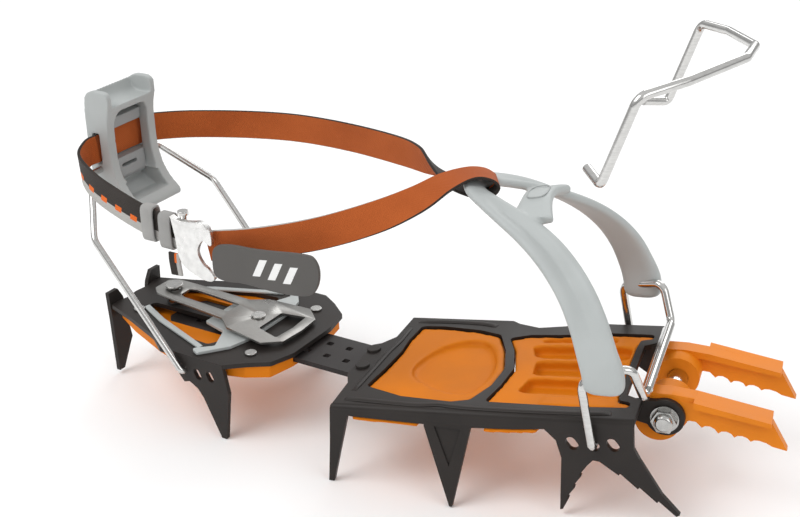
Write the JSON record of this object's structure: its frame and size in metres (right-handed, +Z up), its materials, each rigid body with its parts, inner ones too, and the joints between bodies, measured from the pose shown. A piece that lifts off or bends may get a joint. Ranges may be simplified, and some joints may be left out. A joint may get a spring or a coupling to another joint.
{
  "type": "crampon",
  "caption": "Step-in crampon: hinged toe bail and plastic harness, length-adjusting bar, sprung heel latch, heel bail with lever, ankle strap and spiked frames.",
  "frame": {"origin": "centre of the bounding box, on the ground under the spikes", "axes": "+X towards the toe along the front section, +Y towards the inner side of the foot, +Z up"},
  "size_m": [0.3336, 0.1328, 0.1969],
  "materials": {
    "black_steel": "satin black coated steel",
    "orange_steel": "satin orange coated steel",
    "orange_plastic": "moulded plastic, slightly translucent",
    "stainless": "brushed",
    "bright_wire": "drawn and polished",
    "light_grey_plastic": "moulded, fine satin",
    "lever_grey_plastic": "moulded, fine satin",
    "webbing_orange": "woven webbing",
    "webbing_dark": "woven webbing",
    "hardware": "turned and plated"
  },
  "bodies": {
    "front_section": {"front_frame": "black_steel", "rear_pad": "orange_plastic", "front_pad": "orange_plastic", "front_point_outer": "orange_steel", "front_point_inner": "orange_steel", "axle_bolt": "hardware", "axle_nut": "hardware", "axle_spacer": "bright_wire", "linking_bar": "stainless", "bar_rivets": "hardware"},
    "heel_section": {"heel_frame": "black_steel", "heel_pad": "orange_plastic", "heel_rivets": "hardware", "heel_insert": "light_grey_plastic", "latch_post": "hardware"},
    "spring_latch": {"spring_plate": "stainless", "latch_stud": "hardware"},
    "heel_bail": {"heel_bail_wire": "bright_wire"},
    "heel_lever": {"lever_shell": "lever_grey_plastic", "lever_block": "lever_grey_plastic", "lever_strap": "webbing_orange"},
    "ankle_strap": {"strap_far": "webbing_dark", "strap_near": "webbing_dark", "strap_loop": "webbing_orange", "strap_tail": "webbing_dark", "buckle_pin": "bright_wire"},
    "buckle": {"buckle_frame": "bright_wire"},
    "front_keeper": {"keeper_front": "light_grey_plastic"},
    "rear_keeper": {"keeper_rear": "light_grey_plastic"},
    "toe_bail": {"toe_bail_wire": "bright_wire"},
    "harness": {"toe_harness": "light_grey_plastic"},
    "spare_bail": {"spare_toe_bail": "bright_wire"}
  },
  "joints": [
    {"name": "length_adjustment", "type": "slide", "parent": "front_section", "child": "heel_section", "axis": [0.9678, -0.2516, 0], "range_m": [-0.0216, 0.0216]},
    {"name": "latch_hinge", "type": "hinge", "parent": "heel_section", "child": "spring_latch", "pos_m": [-0.13354, 0.0213, 0.0462], "axis": [-0.2516, -0.9678, 0], "range_deg": [0, 8]},
    {"name": "heel_bail_hinge", "type": "hinge", "parent": "heel_section", "child": "heel_bail", "pos_m": [-0.09541, 0.01138, 0.031], "axis": [-0.2516, -0.9678, 0], "range_deg": [-12, 28]},
    {"name": "heel_lever_hinge", "type": "hinge", "parent": "heel_bail", "child": "heel_lever", "pos_m": [-0.15619, 0.02718, 0.111], "axis": [-0.2516, -0.9678, 0], "range_deg": [0, 60]},
    {"name": "ankle_strap_hinge", "type": "hinge", "parent": "heel_bail", "child": "ankle_strap", "pos_m": [-0.15619, 0.02718, 0.121], "axis": [-0.2516, -0.9678, 0], "range_deg": [-28, 12], "deforming": ["strap_far", "strap_near", "strap_loop", "strap_tail"]},
    {"name": "buckle_hinge", "type": "hinge", "parent": "ankle_strap", "child": "buckle", "pos_m": [-0.09388, -0.03799, 0.104], "axis": [0, 0, -1], "range_deg": [0, 30]},
    {"name": "front_keeper_slide", "type": "slide", "parent": "ankle_strap", "child": "front_keeper", "axis": [0.9678, -0.2516, 0], "range_m": [-0.001, 0.003]},
    {"name": "rear_keeper_slide", "type": "slide", "parent": "ankle_strap", "child": "rear_keeper", "axis": [0.9678, -0.2516, 0], "range_m": [-0.003, 0.001]},
    {"name": "toe_bail_hinge", "type": "hinge", "parent": "front_section", "child": "toe_bail", "pos_m": [0.09084, -0.0101, 0.0362], "axis": [0, 1, 0], "range_deg": [-25, 0]},
    {"name": "harness_hinge", "type": "hinge", "parent": "toe_bail", "child": "harness", "pos_m": [0.09524, -0.0101, 0.069], "axis": [0, 1, 0], "range_deg": [-4, 4]},
    {"name": "spare_bail_slide", "type": "slide", "parent": "front_section", "child": "spare_bail", "axis": [1, 0, 0], "range_m": [0, 0.03]}
  ],
  "couplings": [
    {"joint": "ankle_strap_hinge", "follows": "heel_bail_hinge", "ratio": -1}
  ]
}
